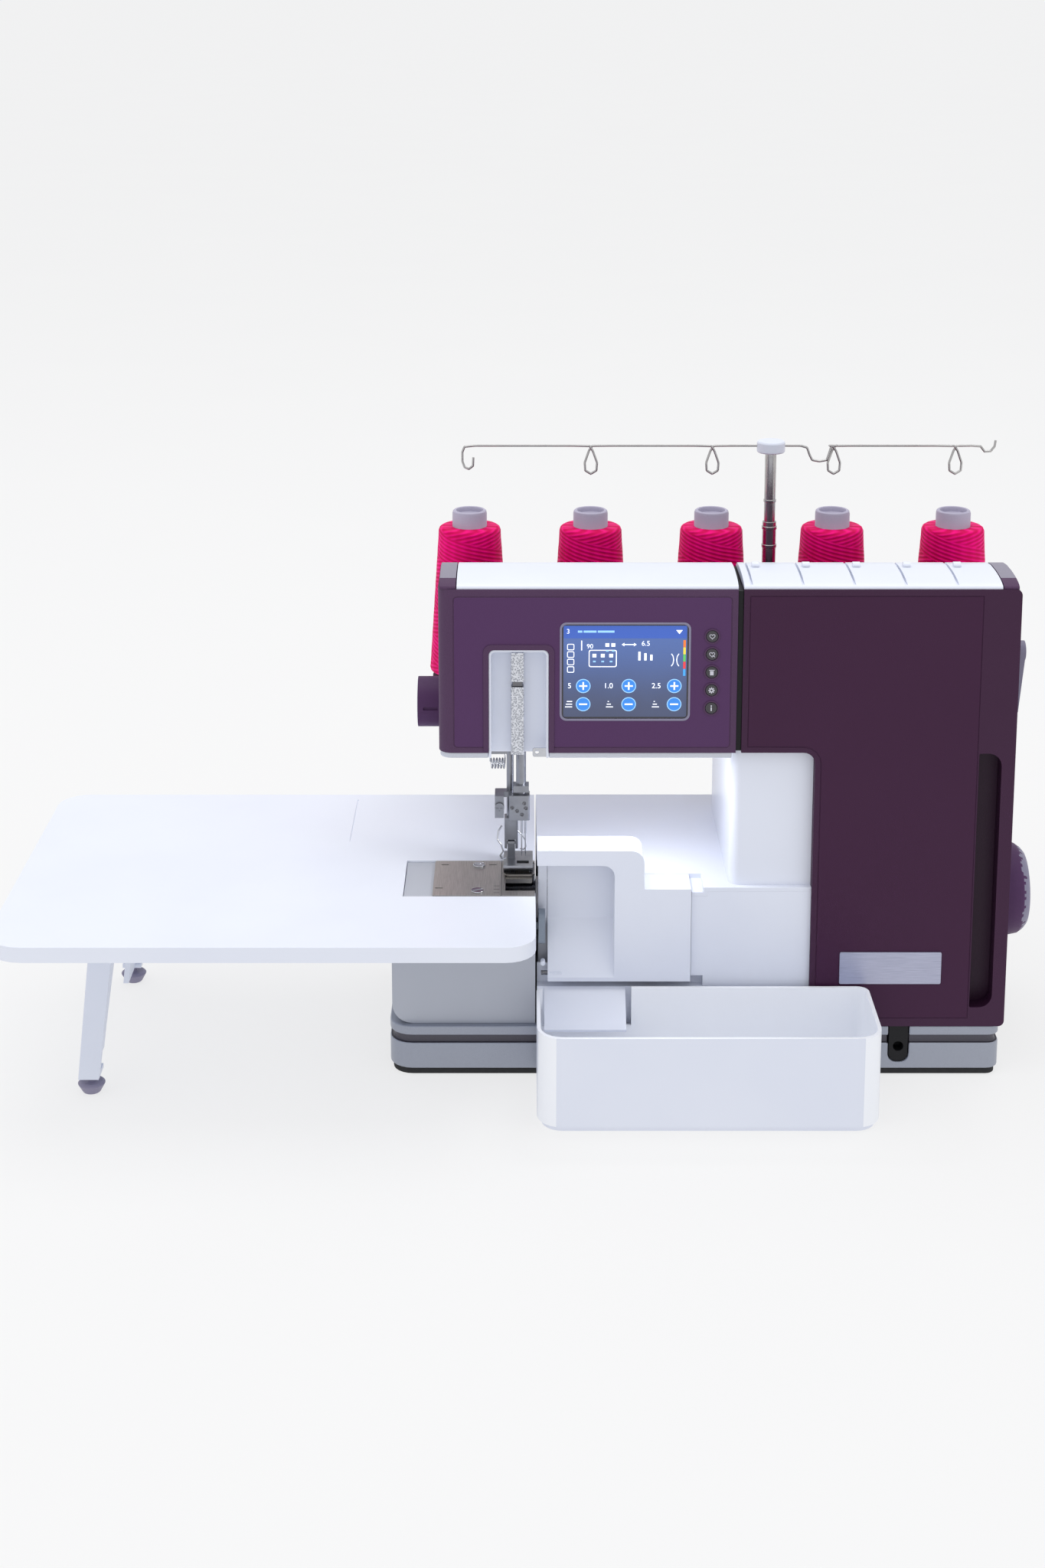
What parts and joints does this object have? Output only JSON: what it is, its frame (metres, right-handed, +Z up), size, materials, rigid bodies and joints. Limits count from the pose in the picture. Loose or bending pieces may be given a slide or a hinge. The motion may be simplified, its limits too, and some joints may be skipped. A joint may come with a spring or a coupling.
{
  "type": "serger overlock machine",
  "caption": "Overlock machine with a violet body, white bed and looper cover, extension table on folding legs, trim bin and thread cones under a wire guide.",
  "frame": {"origin": "centre of the bounding box on the floor", "axes": "+X to the operator's right, +Y away from the operator, +Z up"},
  "size_m": [0.7132, 0.3355, 0.409],
  "materials": {
    "black_rubber": "matt",
    "silver_plastic": "fine satin",
    "black_plastic": "matt",
    "cast_metal": "as cast",
    "aubergine_plastic": "fine grained satin",
    "violet_plastic": "fine grained satin",
    "white_plastic": "smooth semi-gloss",
    "plate_steel": "brushed",
    "bright_steel": "polished",
    "satin_plate": "brushed",
    "screen_glass": "glossy",
    "motor_steel": "painted",
    "belt_rubber": "matt",
    "shaft_steel": "ground",
    "lilac_plastic": "satin",
    "button_plastic": "glossy",
    "thread": "wound thread",
    "guide_steel": "polished wire"
  },
  "bodies": {
    "machine": {"rubber_sole": "black_rubber", "base_pan": "silver_plastic", "knee_socket": "black_plastic", "cast_frame": "cast_metal", "column_shell": "aubergine_plastic", "head_shell": "violet_plastic", "rear_cover": "aubergine_plastic", "seam_strip": "black_plastic", "arm_underside": "silver_plastic", "top_bar": "white_plastic", "pillar": "white_plastic", "bed_cover": "white_plastic", "front_panel": "white_plastic", "free_arm": "white_plastic", "cloth_plate": "plate_steel", "plate_screws": "bright_steel", "stitch_plate": "plate_steel", "needle_recess": "white_plastic", "needle_strip": "satin_plate", "touch_screen": "screen_glass", "blank_plate": "satin_plate", "motor": "motor_steel", "drive_belt": "belt_rubber", "power_inlet": "black_plastic", "spool_tray": "violet_plastic", "mast_lower": "guide_steel"},
    "main_shaft": {"handwheel": "violet_plastic", "main_shaft": "shaft_steel"},
    "motor_rotor": {"motor_rotor": "shaft_steel"},
    "needle_bar": {"needle_bar": "bright_steel", "needles": "bright_steel"},
    "upper_looper": {"upper_looper": "bright_steel"},
    "lower_looper": {"lower_looper": "bright_steel"},
    "upper_knife": {"upper_knife": "plate_steel"},
    "feed_dogs": {"feed_dogs": "plate_steel"},
    "presser_bar": {"presser_bar": "bright_steel"},
    "presser_foot": {"presser_foot": "bright_steel"},
    "lifter_lever": {"lifter_lever": "lilac_plastic"},
    "pressure_knob": {"pressure_knob": "violet_plastic"},
    "cover_carrier": {"cover_hinge_rod": "shaft_steel"},
    "looper_cover": {"looper_cover": "white_plastic"},
    "trim_bin": {"trim_bin": "white_plastic"},
    "table": {"table_top": "white_plastic"},
    "leg_frame": {"leg_frame": "white_plastic"},
    "foot_front": {"foot_front": "lilac_plastic"},
    "foot_back": {"foot_back": "lilac_plastic"},
    "mast_upper": {"mast_upper": "guide_steel"},
    "thread_guide": {"guide_wire": "guide_steel"},
    "power_switch": {"power_switch": "black_plastic"},
    "cutter_knob": {"cutter_knob": "lilac_plastic"},
    "cone_1": {"cone_1": "thread"},
    "button_1": {"button_1": "button_plastic"},
    "cone_2": {"cone_2": "thread"},
    "button_2": {"button_2": "button_plastic"},
    "cone_3": {"cone_3": "thread"},
    "button_3": {"button_3": "button_plastic"},
    "cone_4": {"cone_4": "thread"},
    "button_4": {"button_4": "button_plastic"},
    "cone_5": {"cone_5": "thread"},
    "button_5": {"button_5": "button_plastic"}
  },
  "joints": [
    {"name": "handwheel_spin", "type": "hinge", "parent": "machine", "child": "main_shaft", "pos_m": [0.32495, 0.02825, 0.097], "axis": [1, 0, 0], "continuous": true},
    {"name": "motor_spin", "type": "hinge", "parent": "machine", "child": "motor_rotor", "pos_m": [0.30105, 0.02825, 0.2], "axis": [1, 0, 0], "continuous": true},
    {"name": "needle_bar_slide", "type": "slide", "parent": "machine", "child": "needle_bar", "axis": [0, 0, 1], "range_m": [-0.027, 0]},
    {"name": "upper_looper_swing", "type": "hinge", "parent": "machine", "child": "upper_looper", "pos_m": [0.04505, -0.03175, 0.081], "axis": [0, 1, 0], "range_deg": [-12, 0]},
    {"name": "lower_looper_swing", "type": "hinge", "parent": "machine", "child": "lower_looper", "pos_m": [0.03705, -0.02175, 0.092], "axis": [0, 1, 0], "range_deg": [-14, 0]},
    {"name": "upper_knife_slide", "type": "slide", "parent": "machine", "child": "upper_knife", "axis": [0, 0, 1], "range_m": [-0.006, 0]},
    {"name": "feed_dog_slide", "type": "slide", "parent": "machine", "child": "feed_dogs", "axis": [0, 1, 0], "range_m": [-0.002, 0]},
    {"name": "presser_bar_slide", "type": "slide", "parent": "machine", "child": "presser_bar", "axis": [0, 0, 1], "range_m": [0, 0.006]},
    {"name": "presser_foot_tilt", "type": "hinge", "parent": "presser_bar", "child": "presser_foot", "pos_m": [-0.01635, -0.02175, 0.1514], "axis": [1, 0, 0], "range_deg": [-2.5, 2.5]},
    {"name": "lifter_lever_turn", "type": "hinge", "parent": "machine", "child": "lifter_lever", "pos_m": [0.33295, -0.01175, 0.2886], "axis": [1, 0, 0], "range_deg": [0, 50]},
    {"name": "pressure_knob_turn", "type": "hinge", "parent": "machine", "child": "pressure_knob", "pos_m": [-0.07195, -0.01175, 0.2518], "axis": [1, 0, 0], "range_deg": [-150, 150]},
    {"name": "cover_slide", "type": "slide", "parent": "machine", "child": "cover_carrier", "axis": [1, 0, 0], "range_m": [0, 0.008]},
    {"name": "cover_hinge", "type": "hinge", "parent": "cover_carrier", "child": "looper_cover", "pos_m": [0.05105, -0.06475, 0.073], "axis": [1, 0, 0], "range_deg": [0, 75]},
    {"name": "bin_slide", "type": "slide", "parent": "machine", "child": "trim_bin", "axis": [0, -1, 0], "range_m": [0, 0.15]},
    {"name": "table_slide", "type": "slide", "parent": "machine", "child": "table", "axis": [-1, 0, 0], "range_m": [0, 0.12]},
    {"name": "leg_fold", "type": "hinge", "parent": "table", "child": "leg_frame", "pos_m": [-0.28955, -0.01175, 0.121], "axis": [0, -1, 0], "range_deg": [0, 88]},
    {"name": "foot_front_turn", "type": "hinge", "parent": "leg_frame", "child": "foot_front", "pos_m": [-0.30255, -0.09475, 0], "axis": [0, 0, 1], "continuous": true},
    {"name": "foot_back_turn", "type": "hinge", "parent": "leg_frame", "child": "foot_back", "pos_m": [-0.30255, 0.08175, 0], "axis": [0, 0, 1], "continuous": true},
    {"name": "mast_slide", "type": "slide", "parent": "machine", "child": "mast_upper", "axis": [0, 0, 1], "range_m": [-0.014, 0]},
    {"name": "guide_swivel", "type": "hinge", "parent": "mast_upper", "child": "thread_guide", "pos_m": [0.17813, 0.13725, 0.403], "axis": [0, 0, 1], "range_deg": [-90, 90]},
    {"name": "cone_1_turn", "type": "hinge", "parent": "machine", "child": "cone_1", "pos_m": [-0.04755, 0.13725, 0.2254], "axis": [0, 0, 1], "continuous": true},
    {"name": "cone_2_turn", "type": "hinge", "parent": "machine", "child": "cone_2", "pos_m": [0.04345, 0.13725, 0.2254], "axis": [0, 0, 1], "continuous": true},
    {"name": "cone_3_turn", "type": "hinge", "parent": "machine", "child": "cone_3", "pos_m": [0.13445, 0.13725, 0.2254], "axis": [0, 0, 1], "continuous": true},
    {"name": "cone_4_turn", "type": "hinge", "parent": "machine", "child": "cone_4", "pos_m": [0.22545, 0.13725, 0.2254], "axis": [0, 0, 1], "continuous": true},
    {"name": "cone_5_turn", "type": "hinge", "parent": "machine", "child": "cone_5", "pos_m": [0.31645, 0.13725, 0.2254], "axis": [0, 0, 1], "continuous": true},
    {"name": "button_1_press", "type": "slide", "parent": "machine", "child": "button_1", "axis": [0, 1, 0], "range_m": [0, 0.0008], "stiffness_N_per_m": 400},
    {"name": "button_2_press", "type": "slide", "parent": "machine", "child": "button_2", "axis": [0, 1, 0], "range_m": [0, 0.0008], "stiffness_N_per_m": 400},
    {"name": "button_3_press", "type": "slide", "parent": "machine", "child": "button_3", "axis": [0, 1, 0], "range_m": [0, 0.0008], "stiffness_N_per_m": 400},
    {"name": "button_4_press", "type": "slide", "parent": "machine", "child": "button_4", "axis": [0, 1, 0], "range_m": [0, 0.0008], "stiffness_N_per_m": 400},
    {"name": "button_5_press", "type": "slide", "parent": "machine", "child": "button_5", "axis": [0, 1, 0], "range_m": [0, 0.0008], "stiffness_N_per_m": 400},
    {"name": "power_switch_rock", "type": "hinge", "parent": "machine", "child": "power_switch", "pos_m": [0.32235, 0.07425, 0.0923], "axis": [0, 1, 0], "range_deg": [-8, 8]},
    {"name": "cutter_knob_turn", "type": "hinge", "parent": "machine", "child": "cutter_knob", "pos_m": [0.00605, -0.05925, 0.105], "axis": [1, 0, 0], "range_deg": [-20, 20]}
  ],
  "couplings": [
    {"joint": "motor_spin", "follows": "handwheel_spin", "ratio": 4},
    {"joint": "upper_looper_swing", "follows": "needle_bar_slide", "rad_per_m": 7.757},
    {"joint": "lower_looper_swing", "follows": "needle_bar_slide", "rad_per_m": 9.0498},
    {"joint": "upper_knife_slide", "follows": "needle_bar_slide", "ratio": 0.2222},
    {"joint": "feed_dog_slide", "follows": "needle_bar_slide", "ratio": 0.074},
    {"joint": "lifter_lever_turn", "follows": "presser_bar_slide", "rad_per_m": 145.44}
  ]
}
